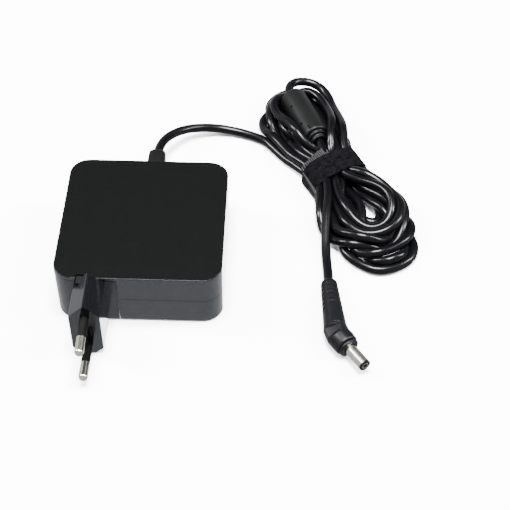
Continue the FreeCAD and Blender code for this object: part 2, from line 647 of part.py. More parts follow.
def plug_elbow():
    """Two round legs joined by a ball."""
    axis = (PLUG_ELBOW - BOOT_START).normalize()
    entry = rod(PLUG_ELBOW - axis * ELBOW_ENTRY, PLUG_ELBOW, BOOT_R[1] + 0.1, ELBOW_R)
    leg = rod(PLUG_ELBOW, COLLAR_START, ELBOW_R)
    leg = leg.makeFillet(0.9, rim_at(leg, COLLAR_START))
    return entry.fuse([Part.makeSphere(ELBOW_R, PLUG_ELBOW), leg]).removeSplitter()


def sleeve(start, end, outer, inner):
    return rod(start, end, outer).cut(rod(start, end, inner))


def plug_contacts():
    """Collar, barrel, tip ring, insulator and inner contact of the coaxial plug."""
    tip = BARREL_END - BARREL_AXIS * TIP_RING
    contact_r = BARREL_BORE_R + 0.25
    return {
        "plug_collar": rod(COLLAR_START, COLLAR_END, COLLAR_R),
        "plug_barrel": sleeve(COLLAR_END, tip, BARREL_R, BARREL_R - BARREL_WALL),
        "plug_tip_ring": sleeve(tip, BARREL_END, BARREL_R, contact_r),
        "plug_insulator": sleeve(COLLAR_END, tip, BARREL_R - BARREL_WALL, contact_r),
        "plug_inner_contact": sleeve(COLLAR_END, BARREL_END, contact_r, BARREL_BORE_R),
    }


# ---------------------------------------------------------------- build
def main():
    pieces = {
        "upper_shell": upper_shell(),
        "lower_shell": lower_shell(),
        "plug_housing": plug_housing(),
        "module_cover": module_cover(),
        "release_latch": release_latch(),
        "latch_spring": latch_spring(),
        "module_blade_left": module_blade(-1),
        "module_blade_right": module_blade(1),
        "mains_pin_upper": mains_pin(1),
        "mains_pin_lower": mains_pin(-1),
        "pin_sleeve_upper": pin_sleeve(1),
        "pin_sleeve_lower": pin_sleeve(-1),
        "cable_gland": cable_gland(),
        "lead_cable": cord_tube("lead_cable", LEAD_ROUTE),
        "bead_loop_cable": cord_tube("bead_loop_cable", BEAD_ROUTE),
        "bead_cable": bead_cord(),
        "plug_cable": cord_tube("plug_cable", PLUG_LEAD_ROUTE),
        "cable_hank": cable_hank(),
        "hook_loop_strap": hook_loop_strap(),
        "bead_overmould": bead_overmould(),
        "ferrite_core": ferrite_core(),
        "plug_boot": plug_boot(),
        "plug_elbow": plug_elbow(),
    }
    pieces.update(electronics())
    pieces.update(plug_contacts())
    for name, shape in pieces.items():
        save(name, shape)
    print(len(pieces), "nodes")


main()
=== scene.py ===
import json
import math

import bpy
import numpy as np
from mathutils import Matrix, Vector, noise


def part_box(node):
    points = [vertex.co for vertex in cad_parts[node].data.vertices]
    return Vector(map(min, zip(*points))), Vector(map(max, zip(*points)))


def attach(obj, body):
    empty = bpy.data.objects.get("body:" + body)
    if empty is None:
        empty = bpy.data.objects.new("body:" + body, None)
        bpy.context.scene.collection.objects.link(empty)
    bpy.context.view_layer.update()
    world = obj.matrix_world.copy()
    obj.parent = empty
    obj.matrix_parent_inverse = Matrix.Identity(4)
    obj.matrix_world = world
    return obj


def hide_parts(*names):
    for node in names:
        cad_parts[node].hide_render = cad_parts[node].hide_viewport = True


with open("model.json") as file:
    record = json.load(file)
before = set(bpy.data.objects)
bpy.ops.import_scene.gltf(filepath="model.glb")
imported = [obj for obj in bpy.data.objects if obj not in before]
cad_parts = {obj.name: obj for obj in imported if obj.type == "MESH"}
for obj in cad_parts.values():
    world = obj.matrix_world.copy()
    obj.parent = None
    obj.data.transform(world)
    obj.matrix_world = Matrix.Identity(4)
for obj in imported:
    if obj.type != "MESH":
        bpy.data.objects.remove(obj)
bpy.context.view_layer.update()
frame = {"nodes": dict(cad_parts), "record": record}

MM = 0.001


def mm(*values):
    """Millimetres as a vector in metres."""
    return Vector(values) * MM


# ---------------------------------------------------------------- camera
CAMERA_PLACE = mm(60.45, -386.6, 437.85)
CAMERA_TURN = (0.842, -0.024, 0.009)  # radians: pitch down from level, yaw to the right, roll
CAMERA_LENS = 86.96                   # mm, on a 36 mm sensor


def add_camera():
    """Long lens in front of and above the adapter, slightly to its right."""
    pitch, yaw, roll = CAMERA_TURN
    forward = Vector((math.sin(yaw) * math.cos(pitch), math.cos(yaw) * math.cos(pitch), -math.sin(pitch)))
    right = Vector((math.cos(yaw), -math.sin(yaw), 0))
    up = right.cross(forward)
    rolled_right = right * math.cos(roll) + up * math.sin(roll)
    rolled_up = up * math.cos(roll) - right * math.sin(roll)
    data = bpy.data.cameras.new("camera")
    data.sensor_width = 36
    data.lens = CAMERA_LENS
    data.clip_end = 20
    camera = bpy.data.objects.new("camera", data)
    turn = Matrix((rolled_right, rolled_up, -forward)).transposed().to_4x4()
    camera.matrix_world = Matrix.Translation(CAMERA_PLACE) @ turn
    bpy.context.scene.collection.objects.link(camera)
    bpy.context.scene.camera = camera


add_camera()

# ---------------------------------------------------------------- cord
CORD_D = 4.5 * MM
CORD_D_MM = CORD_D / MM
HANK_CENTRE = mm(88.8, 57.5, 0)
HANK_HEADING = math.radians(-62.6)
BEAD_AXIS = Vector((math.cos(math.radians(-67.1)), math.sin(math.radians(-67.1)), 0))
BEAD_R = 7.0
BEAD_LENGTH = 32.8

LEAD_ROUTE = [(1, 57.6, 14), (1.5, 65, 13.3), (5.6, 74.7, 11), (14.2, 83.9, 7.4), (27, 88.6, 4.1),
              (40.5, 87.4, 2.6), (53.5, 82, 2.4)]
BEAD_TOP = (67.5, 105.9, 10.8)
BEAD_ROUTE = [BEAD_TOP, (65.8, 110.2, 10.7), (65.6, 115, 10.2), (67.9, 119.6, 9.4), (72.8, 121.9, 8.6),
              (78.8, 121.2, 7.8), (83.9, 117.2, 7.2), (87, 110.9, 6.8), (88.8, 104.2, 6.4)]
PLUG_LEAD_ROUTE = [(86, 38.5, 9.9), (85.1, 27.5, 9.3), (84.5, 14.5, 5.8), (84.7, 3, 3.1),
                   (85.5, -6.8, 2.7), (85.8, -15.1, 3.9)]

# under the strap the strands lie in layers: (place across, in pitches from the middle; layer)
STRAP_EDGE = 5.6            # mm along the bundle from its middle
STRAND_PITCH = 4.0
LAYER_HEIGHTS = (3.9, 7.3, 10.3)
LEFT_STRANDS = [(-3, 0), (-2.5, 1), (-2, 0), (0, 0), (-1, 0), (-1.5, 1), (-0.5, 1), (0.5, 1)]
RIGHT_STRANDS = [(3, 0), (2.5, 1), (1.5, 1), (1, 0), (2, 0), (1, 2), (0, 2), (2, 2)]

# the loops beyond the strap: (reach from the middle, where the left and right sides lie across the
# bundle, height, share of the left side that stays in line with its strand before it swings out)
LOWER_LOOPS = [(67.5, -18.5, 12.5, 2.3, 0), (57.5, -22.0, 15.6, 5.6, 0), (55.0, -19.6, 13.4, 7.6, 0),
               (66.0, -14.8, 12.0, 5.0, 0.62), (45.2, -4.5, 12.8, 4.5, 0), (51.8, -13.8, 16.0, 8.2, 0),
               (46.2, -11.3, 14.0, 10.0, 0), (60.5, -19.0, 15.0, 5.0, 0)]
UPPER_LOOPS = [(58.3, -17.2, 17.1, 2.3, 0), (59.7, -12.9, 17.5, 5.0, 0), (57.5, -8.2, 13.2, 6.0, 0),
               (44.5, -5.5, 12.2, 2.3, 0), (66.2, -8.2, 20.9, 2.6, 0), (58.5, -6.0, 14.9, 5.0, 0),
               (61.5, -9.5, 16.5, 6.0, 0)]
SIDE_POINTS = 4
TIP_STEPS = 7
# (along, across, height) where the lead comes in and where the cord leaves for the bead
COIL_START = [(-29.9, -17.9, 2.3), (-18.4, -15.1, 2.6)]
COIL_END = [(-14.5, 12.2, 8.3), (-24, 16, 7), (-34, 19, 6.4)]
THROUGH_BEAD = (17, 34.5, 41)   # mm from the bead's top end
OVER_STRAP = [(-2, -2.8, 10.1), (6, -8.2, 9.6)]


def hank_point(along, across, height):
    """Place in metres of a point given in mm along, across and above the tied bundle."""
    axis = Vector((math.cos(HANK_HEADING), math.sin(HANK_HEADING), 0))
    side = Vector((-axis.y, axis.x, 0))
    return HANK_CENTRE + (axis * along + side * across + Vector((0, 0, height))) * MM


def loop_side(strand, shoulder, side, height, straight):
    """One side of a loop, from the strap out to its shoulder."""
    points = []
    for i in range(1, SIDE_POINTS + 1):
        share = i / (SIDE_POINTS + 1)
        swing = math.sin(math.pi / 2 * max(0, (share - straight) / (1 - straight)))
        points.append((STRAP_EDGE + (shoulder - STRAP_EDGE) * share, strand[0] + (side - strand[0]) * swing,
                       strand[1] + (height - strand[1]) * share))
    return points


def coil_loop(shape, left_strand, right_strand):
    """One loop from its left strand to its right one: two sides and a half circle between them."""
    reach, left, right, height, straight = shape
    radius, middle = (right - left) / 2, (right + left) / 2
    shoulder = reach - radius
    points = loop_side(left_strand, shoulder, left, height, straight)
    for i in range(TIP_STEPS + 1):
        angle = math.pi * i / TIP_STEPS
        points.append((shoulder + radius * math.sin(angle), middle - radius * math.cos(angle), height))
    return points + list(reversed(loop_side(right_strand, shoulder, right, height, 0)))


def coil_points():
    """Every turn in order: down on the left, round the lower end, up on the right, round the upper end."""
    lefts = [(place * STRAND_PITCH, LAYER_HEIGHTS[layer]) for place, layer in LEFT_STRANDS]
    rights = [(place * STRAND_PITCH, LAYER_HEIGHTS[layer]) for place, layer in RIGHT_STRANDS]
    points = list(COIL_START)
    for turn, shape in enumerate(LOWER_LOOPS):
        left, right = lefts[turn], rights[turn]
        points += [(-STRAP_EDGE, *left), (STRAP_EDGE, *left)]
        points += coil_loop(shape, left, right)
        points += [(STRAP_EDGE, *right), (-STRAP_EDGE, *right)]
        if turn < len(UPPER_LOOPS):
            upper = coil_loop(UPPER_LOOPS[turn], lefts[turn + 1], right)
            points += [(-along, across, height) for along, across, height in reversed(upper)]
    points += COIL_END
    return [hank_point(*p) for p in points]


# settling, in mm: the coil is a chain of short links that bend stiffly, rest on the table and on each other
LINK = 2.2
LINKS_PER_POINT = 4
TAUT = 0.97                 # of the starting shape's length
ROUNDS = 900
SEARCH_EVERY = 10           # rounds between searches for strands that may touch
SEARCH_REACH = 1.6          # diameters
SAME_STRAND = 8             # links apart at most that are never pushed apart
MIN_BEND_R = 9.5
EVENING = 0.02              # what each force adds in one round, as a share of its cause
STIFFNESS = 0.11
SHARP_BEND_PUSH = 0.14
SHARP_BEND_SPREAD = 0.6     # share of a sharp bend's push that its neighbours get
HOLD = 0.012
HOLD_UPWARDS = 0.15         # of the sideways hold
WEIGHT = 0.008
CONTACT_PUSH = 0.35
CONTACT_GIVE = 0.05         # two strands may overlap by this
LINK_PULL = 0.25
BEAD_PUSH = 0.5
TIED_HALF_LENGTH = 7.5      # the strap's section
TIED_HALF_WIDTH = 12.1
TIED_LOWEST = 3.8
TIED_HIGHEST = 10.3
TIED_SLOPE = 0.02           # how fast the section gets lower towards its sides
TABLE_CLEARANCE = 0.03


def spline_line(points, steps=8):
    """Points along the quadratic spline of these control points, clamped at both ends."""
    control = np.array(points)
    joints = (control[:-1] + control[1:]) / 2
    joints[0], joints[-1] = control[0], control[-1]
    t = np.linspace(0, 1, steps, endpoint=False)[:, None]
    runs = [(1 - t) ** 2 * joints[i - 1] + 2 * t * (1 - t) * control[i] + t * t * joints[i]
            for i in range(1, len(control) - 1)]
    return np.vstack(runs + [control[-1:]])


def chain_along(line):
    """Equally spaced nodes, a link apart."""
    travelled = np.r_[0, np.cumsum(np.linalg.norm(np.diff(line, axis=0), axis=1))]
    at = np.linspace(0, travelled[-1], int(travelled[-1] / LINK) + 1)
    return np.stack([np.interp(at, travelled, line[:, axis]) for axis in range(3)], 1)


def neighbour_difference(values):
    """Second difference along the chain, zero at its ends."""
    out = np.zeros_like(values)
    out[1:-1] = values[:-2] + values[2:] - 2 * values[1:-1]
    return out


def bend_forces(nodes, start, link):
    """Stiffness in bending, a limit on sharp bends, a weak hold on the starting shape, and weight."""
    bow = neighbour_difference(nodes)
    size = np.linalg.norm(bow, axis=1)
    sharp = np.clip(size - link * link / MIN_BEND_R, 0, None) / np.maximum(size, 1e-6)
    before, after = np.roll(sharp, 1), np.roll(sharp, -1)
    sharp = np.clip(sharp + SHARP_BEND_SPREAD * before + SHARP_BEND_SPREAD * after, 0, 1)
    hold = (start - nodes) * (1, 1, HOLD_UPWARDS)
    force = EVENING * bow - STIFFNESS * neighbour_difference(bow)
    force = force + SHARP_BEND_PUSH * bow * sharp[:, None] + HOLD * hold
    force[:, 2] -= WEIGHT
    return force


def contact_push(nodes, first, second):
    """Moves strands apart where they are nearer than a diameter."""
    gap = nodes[first] - nodes[second]
    distance = np.linalg.norm(gap, axis=1)
    clear = CORD_D_MM - CONTACT_GIVE
    overlap = np.clip(clear - distance, 0, None)
    push = gap / np.maximum(distance, 0.2)[:, None] * (overlap * CONTACT_PUSH)[:, None]
    touching = (distance < clear).astype(float)
    total, count = np.zeros_like(nodes), np.zeros(len(nodes))
    for index, sign in ((first, 1), (second, -1)):
        np.add.at(total, index, push * sign)
        np.add.at(count, index, touching)
    return total / np.sqrt(np.maximum(count, 1))[:, None]


def bead_push(nodes):
    """Moves strands out of the bead."""
    axis, clear = np.array(BEAD_AXIS), BEAD_R + CORD_D_MM / 2
    from_top = nodes - np.array(BEAD_TOP)
    along = from_top @ axis
    out = from_top - along[:, None] * axis
    distance = np.linalg.norm(out, axis=1)
    inside = (along > -1) & (along < BEAD_LENGTH + 1) & (distance < clear)
    return np.where(inside, (clear - distance) * BEAD_PUSH / np.maximum(distance, 0.1), 0)[:, None] * out


def keep_in_strap(nodes, free):
    """Holds the strands inside the strap's section and everything above the table."""
    axis = np.array((math.cos(HANK_HEADING), math.sin(HANK_HEADING)))
    side = np.array((-axis[1], axis[0]))
    place = nodes[:, :2] - np.array(HANK_CENTRE)[:2] / MM
    across = place @ side
    tied = (np.abs(place @ axis) < TIED_HALF_LENGTH) & free
    kept = np.clip(across, -TIED_HALF_WIDTH, TIED_HALF_WIDTH)
    nodes[:, :2] += np.where(tied, kept - across, 0)[:, None] * side
    nodes[:, 2] = np.where(free, np.maximum(nodes[:, 2], CORD_D_MM / 2 + TABLE_CLEARANCE), nodes[:, 2])
    ceiling = TIED_HIGHEST - TIED_SLOPE * kept ** 2
    nodes[:, 2] = np.where(tied, np.clip(nodes[:, 2], TIED_LOWEST, ceiling), nodes[:, 2])


def settled_coil(before, coil, after):
    """The coil's points once its strands have come to rest; the cord before and after it stays put."""
    start = chain_along(spline_line([p / MM for p in before + coil + after]))
    nodes, count = start.copy(), len(start)
    link = np.linalg.norm(start[1] - start[0]) * TAUT
    first = int(np.argmin(((start - np.array(coil[0]) / MM) ** 2).sum(1)))
    to_end = ((start - np.array(coil[-1]) / MM) ** 2).sum(1)
    last = count // 2 + int(np.argmin(to_end[count // 2:]))
    order = np.arange(count)
    free = (order >= first) & (order < last)
    moving = free[:, None].astype(float)
    for settling_round in range(ROUNDS):
        if settling_round % SEARCH_EVERY == 0:
            squared = ((nodes[:, None, :] - nodes[None, :, :]) ** 2).sum(-1)
            near = squared < (CORD_D_MM * SEARCH_REACH) ** 2
            pairs = np.where(near & (order[None, :] - order[:, None] > SAME_STRAND))
        nodes = nodes + bend_forces(nodes, start, link) * moving
        for _ in range(2):
            step = nodes[1:] - nodes[:-1]
            length = np.linalg.norm(step, axis=1)
            slack = ((length - link) / length * LINK_PULL)[:, None] * step
            nodes[:-1] += slack * moving[:-1]
            nodes[1:] -= slack * moving[1:]
        nodes += contact_push(nodes, *pairs) * moving
        nodes += bead_push(nodes) * moving
        keep_in_strap(nodes, free)
    points = nodes[first:last:LINKS_PER_POINT]
    return [mm(*p) for p in points - neighbour_difference(points) / 8]


def cord_points():
    """The whole cord: lead, coil, loop at the bead, bead, and the low-voltage plug's lead."""
    before = [mm(*p) for p in LEAD_ROUTE]
    after = [mm(*p) for p in reversed(BEAD_ROUTE)]
    after += [mm(*BEAD_TOP) + BEAD_AXIS * d * MM for d in THROUGH_BEAD]
    after += [hank_point(*p) for p in OVER_STRAP]
    after += [mm(*p) for p in PLUG_LEAD_ROUTE]
    return before + settled_coil(before, coil_points(), after) + after


def nurbs_curve(name, points, bevel_depth):
    """One open NURBS spline with these control points."""
    data = bpy.data.curves.new(name, "CURVE")
    data.dimensions = "3D"
    spline = data.splines.new("NURBS")
    spline.points.add(len(points) - 1)
    for target, point in zip(spline.points, points):
        target.co = (*point, 1)
    spline.order_u = 3
    spline.use_endpoint_u = True
    spline.resolution_u = 10
    data.bevel_depth = bevel_depth
    data.bevel_resolution = 7
    data.use_fill_caps = True
    curve = bpy.data.objects.new(name, data)
    bpy.context.scene.collection.objects.link(curve)
    return curve


cord = nurbs_curve("cord", cord_points(), CORD_D / 2)


# ---------------------------------------------------------------- materials
class Shader:
    """Short names for building one material's nodes."""

    def __init__(self, name):
        self.material = bpy.data.materials.new(name)
        self.material.use_nodes = True
        self.tree = self.material.node_tree
        self.bsdf = self.tree.nodes["Principled BSDF"]
        self.coords = self.tree.nodes.new("ShaderNodeTexCoord").outputs["Object"]

    def set(self, **values):
        for name, value in values.items():
            self.bsdf.inputs[name.replace("_", " ")].default_value = value
        return self

    def node(self, kind, **inputs):
        made = self.tree.nodes.new("ShaderNode" + kind)
        for name, value in inputs.items():
            socket = made.inputs[name.replace("_", " ")]
            if isinstance(value, bpy.types.NodeSocket):
                self.tree.links.new(value, socket)
            else:
                socket.default_value = value
        return made

    def noise(self, scale, detail=4.0, roughness=0.5, vector=None):
        return self.node("TexNoise", Vector=vector or self.coords, Scale=scale, Detail=detail,
                         Roughness=roughness).outputs["Fac"]

    def spread(self, value, low, high, start=0.3, stop=0.7):
        """Maps a texture value to a range."""
        made = self.node("MapRange", Value=value)
        made.inputs["From Min"].default_value = start
        made.inputs["From Max"].default_value = stop
        made.inputs["To Min"].default_value = low
        made.inputs["To Max"].default_value = high
        return made.outputs["Result"]

    def mix(self, factor, first, second):
        made = self.tree.nodes.new("ShaderNodeMix")
        made.data_type = "RGBA"
        self.tree.links.new(factor, made.inputs["Factor"])
        made.inputs["A"].default_value = (*first, 1)
        made.inputs["B"].default_value = (*second, 1)
        return made.outputs["Result"]

    def combine(self, operation, first, second):
        """Joins two values by one operation, such as ADD."""
        made = self.node("Math")
        made.operation = operation
        self.tree.links.new(first, made.inputs[0])
        self.tree.links.new(second, made.inputs[1])
        return made.outputs["Value"]

    def link(self, value, name):
        self.tree.links.new(value, self.bsdf.inputs[name])
        return self

    def bump(self, height, strength, distance):
        made = self.node("Bump", Height=height, Strength=strength, Distance=distance)
        self.tree.links.new(made.outputs["Normal"], self.bsdf.inputs["Normal"])
        return self


def moulded_plastic(name, dark, light, rough, grain_scale, grain_height, gloss=0.5, tint=(1, 1, 1)):
    """Moulded plastic: faint colour variation, uneven gloss and a fine grain."""
    s = Shader(name)
    s.set(IOR=1.5, Specular_IOR_Level=gloss, Specular_Tint=(*tint, 1))
    s.link(s.mix(s.spread(s.noise(60), 0, 1), dark, light), "Base Color")
    s.link(s.spread(s.noise(140, 6), rough[0], rough[1]), "Roughness")
    return s.bump(s.noise(grain_scale, 2, 0.6), 0.5, grain_height).material


def satin_top_and_painted_side_light():
    """The upper shell: a satin top face and polished sides, and painted light: by which way each face points,
    the sides get a lighter, bluish colour and a tenfold stronger, blue-tinted reflection than the top.
    """
    s = Shader("top_shell")
    split = s.node("SeparateXYZ", Vector=s.tree.nodes.new("ShaderNodeTexCoord").outputs["Normal"])
    level = s.spread(split.outputs["Z"], 0, 1, 0.55, 0.8)
    s.set(IOR=1.5)
    # painted light: the sides are lighter and bluish and reflect ten times more strongly, with a blue tint,
    # than the top; set by which way the face points
    s.link(s.mix(level, (0.0016, 0.0016, 0.0021), (0.0012, 0.0013, 0.0013)), "Base Color")
    s.link(s.spread(level, 0.6, 0.06, 0, 1), "Specular IOR Level")
    s.link(s.mix(level, (0.86, 0.93, 1.0), (1.0, 1.0, 1.0)), "Specular Tint")
    rough = s.combine("ADD", s.spread(level, 0.12, 0.26, 0, 1), s.spread(s.noise(140, 6), 0.0, 0.02))
    s.link(rough, "Roughness")
    return s.bump(s.noise(2600, 2, 0.6), 0.5, 0.00002).material


def metal(name, colour, rough):
    """Plated metal with faint handling marks."""
    s = Shader(name)
    s.set(Metallic=1.0)
    darker = tuple(c * 0.82 for c in colour)
    s.link(s.mix(s.spread(s.noise(300, 5), 0, 1), darker, colour), "Base Color")
    s.link(s.spread(s.noise(900, 6), rough[0], rough[1]), "Roughness")
    return s.bump(s.noise(2500, 3), 0.25, 0.00002).material


def strap_textile():
    """Hook-and-loop band: dull black loops in small clumps."""
    s = Shader("strap_textile")
    s.set(Roughness=1.0, Specular_IOR_Level=0.0)
    fuzz = s.noise(1500, 8, 0.75)
    clumps = s.noise(420, 6, 0.7)
    pile = s.combine("MULTIPLY", fuzz, clumps)
    lit = s.spread(pile, 0, 1, 0.14, 0.42)
    s.link(s.mix(lit, (0.0003, 0.0003, 0.0004), (0.0042, 0.0042, 0.0048)), "Base Color")
    return s.bump(pile, 1.0, 0.0012).material


def bead_plastic():
    """Satin moulding with dark, unreflecting spots: two round ones paint the shade of small pits that are not
    modelled, and two smaller ones side by side stand for a small mark.
    """
    s = Shader("bead_plastic")
    s.set(IOR=1.5)
    s.link(s.spread(s.noise(140, 6), 0.36, 0.42), "Roughness")
    masks = None
    for centre, radius in BEAD_PAINTED_SPOTS:
        gap = s.node("VectorMath")
        gap.operation = "DISTANCE"
        s.tree.links.new(s.coords, gap.inputs[0])
        gap.inputs[1].default_value = centre
        mask = s.spread(gap.outputs["Value"], 1, 0, radius * 0.7, radius)
        masks = mask if masks is None else s.combine("MAXIMUM", masks, mask)
    # painted shade: darker colour and no reflection inside the spots, for pits that are not modelled
    s.link(s.mix(masks, (0.0016, 0.0017, 0.0017), (0.0002, 0.0002, 0.0002)), "Base Color")
    s.link(s.spread(masks, 0.07, 0.0, 0, 1), "Specular IOR Level")
    return s.bump(s.noise(2800, 2, 0.6), 0.5, 0.00002).material


def bead_side(along, angle):
    """Point on the bead's side: mm from its top end, degrees from straight up towards the left."""
    side = BEAD_AXIS.cross(Vector((0, 0, 1))).normalized()
    turn = math.radians(angle)
    outward = side * math.sin(turn) + Vector((0, 0, math.cos(turn)))
    return mm(*BEAD_TOP) + (BEAD_AXIS * along + outward * BEAD_R) * MM


# (centre, radius in metres) of the painted spots: painted shade of two pits, then two for a small mark
BEAD_PAINTED_SPOTS = [(bead_side(11.2, 48), 0.0007), (bead_side(24.9, 50), 0.0008), (bead_side(29.3, 30), 0.0006),
              (bead_side(30.9, 28), 0.0006)]

MATERIALS = {
    "top_shell": satin_top_and_painted_side_light(),
    "base_shell": moulded_plastic("base_shell", (0.0011, 0.0011, 0.0014), (0.0016, 0.0016, 0.0021),
                                  (0.13, 0.16), 1500, 0.00001, gloss=0.6, tint=(0.86, 0.93, 1.0)),
    "plug_plastic": moulded_plastic("plug_plastic", (0.0011, 0.0011, 0.0014), (0.0014, 0.0014, 0.0018),
                                    (0.14, 0.18), 1500, 0.00001, gloss=0.45, tint=(0.9, 0.94, 1.0)),
    "latch_plastic": moulded_plastic("latch_plastic", (0.0014, 0.0014, 0.0014), (0.0018, 0.0018, 0.0018),
                                     (0.4, 0.5), 2600, 0.00003, gloss=0.06),
    "sleeve_plastic": moulded_plastic("sleeve_plastic", (0.0008, 0.0008, 0.0008),
                                      (0.0012, 0.0012, 0.0012), (0.4, 0.5), 2600, 0.00002, gloss=0.04),
    "cord_jacket": moulded_plastic("cord_jacket", (0.0007, 0.0007, 0.0009), (0.0011, 0.0011, 0.0014),
                                   (0.19, 0.24), 1800, 0.00001, gloss=0.1),
    "gland_rubber": moulded_plastic("gland_rubber", (0.0008, 0.0008, 0.0009), (0.0014, 0.0014, 0.0014),
                                    (0.4, 0.5), 3000, 0.00003, gloss=0.05),
    "bead_plastic": bead_plastic(),
    "boot_rubber": moulded_plastic("boot_rubber", (0.0009, 0.0009, 0.0012), (0.0014, 0.0014, 0.0018),
                                   (0.3, 0.38), 2800, 0.00002, gloss=0.1),
    "insulator": moulded_plastic("insulator", (0.0008, 0.0008, 0.0008), (0.0012, 0.0012, 0.0012),
                                 (0.4, 0.5), 2500, 0.00003, gloss=0.04),
    "board": moulded_plastic("board", (0.02, 0.12, 0.05), (0.04, 0.18, 0.08), (0.3, 0.45), 2000, 0.00002),
    "sheet_plastic": moulded_plastic("sheet_plastic", (0.75, 0.75, 0.70), (0.82, 0.82, 0.78), (0.3, 0.4),
                                     1500, 0.00001),
    "contact_plastic": moulded_plastic("contact_plastic", (0.65, 0.62, 0.56), (0.72, 0.70, 0.64),
                                       (0.45, 0.6), 2500, 0.00003),
    "winding_tape": moulded_plastic("winding_tape", (0.72, 0.55, 0.08), (0.85, 0.68, 0.12), (0.25, 0.4),
                                    1200, 0.00003),
    "capacitor_sleeve": moulded_plastic("capacitor_sleeve", (0.03, 0.04, 0.12), (0.05, 0.06, 0.16),
                                        (0.2, 0.3), 1200, 0.00002),
    "film_capacitor": moulded_plastic("film_capacitor", (0.70, 0.55, 0.10), (0.8, 0.64, 0.14), (0.4, 0.5),
                                      2000, 0.00002),
    "fuse_body": moulded_plastic("fuse_body", (0.45, 0.40, 0.32), (0.55, 0.5, 0.4), (0.4, 0.5), 2000,
                                 0.00002),
    "ceramic_disc": moulded_plastic("ceramic_disc", (0.08, 0.16, 0.36), (0.12, 0.22, 0.45), (0.4, 0.55),
                                    2000, 0.00004),
    "chip_plastic": moulded_plastic("chip_plastic", (0.004, 0.004, 0.004), (0.007, 0.007, 0.007),
                                    (0.5, 0.6), 3000, 0.00004),
    "wire_red": moulded_plastic("wire_red", (0.42, 0.02, 0.02), (0.55, 0.04, 0.03), (0.3, 0.4), 1500,
                                0.00002),
    "wire_black": moulded_plastic("wire_black", (0.01, 0.01, 0.01), (0.02, 0.02, 0.02), (0.3, 0.4), 1500,
                                  0.00002),
    "ferrite": moulded_plastic("ferrite", (0.045, 0.045, 0.048), (0.07, 0.07, 0.075), (0.5, 0.7), 3000,
                               0.00006),
    "nickel": metal("nickel", (0.46, 0.44, 0.39), (0.16, 0.24)),
    "brass": metal("brass", (0.78, 0.58, 0.26), (0.18, 0.3)),
    "copper": metal("copper", (0.78, 0.36, 0.18), (0.22, 0.35)),
    "spring_steel": metal("spring_steel", (0.6, 0.6, 0.6), (0.2, 0.3)),
    "aluminium": metal("aluminium", (0.74, 0.75, 0.76), (0.28, 0.42)),
    "strap_textile": strap_textile(),
}


def ribbed_tape():
    """Woven back of the band: ribs across it, crossed by fine warp threads."""
    s = Shader("ribbed_tape")
    s.set(Roughness=0.8, Specular_IOR_Level=0.05)
    turn = s.node("Mapping", Vector=s.coords)
    turn.inputs["Rotation"].default_value = (0, 0, -HANK_HEADING)
    waves = []
    for direction, scale in (("X", 330), ("Y", 300)):
        wave = s.node("TexWave", Vector=turn.outputs["Vector"], Scale=scale, Distortion=0.6, Detail=2.0)
        wave.bands_direction = direction
        waves.append(wave.outputs["Fac"])
    weave = s.combine("MULTIPLY", *waves)
    lit = s.spread(weave, 0, 1, 0.1, 0.7)
    s.link(s.mix(lit, (0.001, 0.001, 0.0011), (0.03, 0.03, 0.031)), "Base Color")
    return s.bump(weave, 0.7, 0.0004).material


ribbed_textile = ribbed_tape()


def paint_nodes():
    """Gives every CAD node the finished material of its slot."""
    slots = {part["node"]: part["material_slot"] for part in frame["record"]["subparts"]}
    for name, piece in frame["nodes"].items():
        material = MATERIALS[slots[name]]
        if not piece.material_slots:
            piece.data.materials.append(material)
        for place in piece.material_slots:
            place.material = material


paint_nodes()


# ---------------------------------------------------------------- modelled pieces
def add_piece(name, verts, faces, material, body="adapter"):
    """Smooth mesh piece that rides on a body."""
    data = bpy.data.meshes.new(name)
    data.from_pydata([tuple(v) for v in verts], [], faces)
    data.materials.append(material)
    for face in data.polygons:
        face.use_smooth = True
    data.validate()
    piece = bpy.data.objects.new(name, data)
    bpy.context.scene.collection.objects.link(piece)
    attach(piece, body)
    return piece


def soften_edges(piece, width, angle):
    """Rounded edges, width in mm, where the surface turns by more than the angle in degrees."""
    bevel = piece.modifiers.new("edges", "BEVEL")
    bevel.width = width * MM
    bevel.segments = 3
    bevel.limit_method = "ANGLE"
    bevel.angle_limit = math.radians(angle)
    normals = piece.modifiers.new("normals", "WEIGHTED_NORMAL")
    normals.keep_sharp = True


def ring_faces(rings, sides):
    """Quads between rings of equal size, with a face on each end ring."""
    faces = []
    for ring in range(rings - 1):
        for side in range(sides):
            after = (side + 1) % sides
            faces.append((ring * sides + side, ring * sides + after,
                          (ring + 1) * sides + after, (ring + 1) * sides + side))
    faces.append(tuple(reversed(range(sides))))
    faces.append(tuple(range((rings - 1) * sides, rings * sides)))
    return faces


def corner_arc(along, radius, size, start, stop, steps=6):
    """Quarter arc of a turned profile: points about (along, radius)."""
    return [(along + size * math.cos(math.radians(start + (stop - start) * i / steps)),
             radius + size * math.sin(math.radians(start + (stop - start) * i / steps)))
            for i in range(steps + 1)]


def frame_of(axis):
    """Side and upward directions about a level or slightly sloping axis."""
    side = axis.cross(Vector((0, 0, 1))).normalized()
    return side, side.cross(axis).normalized()


def turned(name, start, axis, profile, material, sides=72):
    """Solid of revolution from (distance along the axis, radius) points in mm."""
    side, up = frame_of(axis)
    verts = []
    for along, radius in profile:
        for step in range(sides):
            angle = 2 * math.pi * step / sides
            outward = side * math.cos(angle) + up * math.sin(angle)
            verts.append(start + (axis * along + outward * radius) * MM)
    return add_piece(name, verts, ring_faces(len(profile), sides), material)


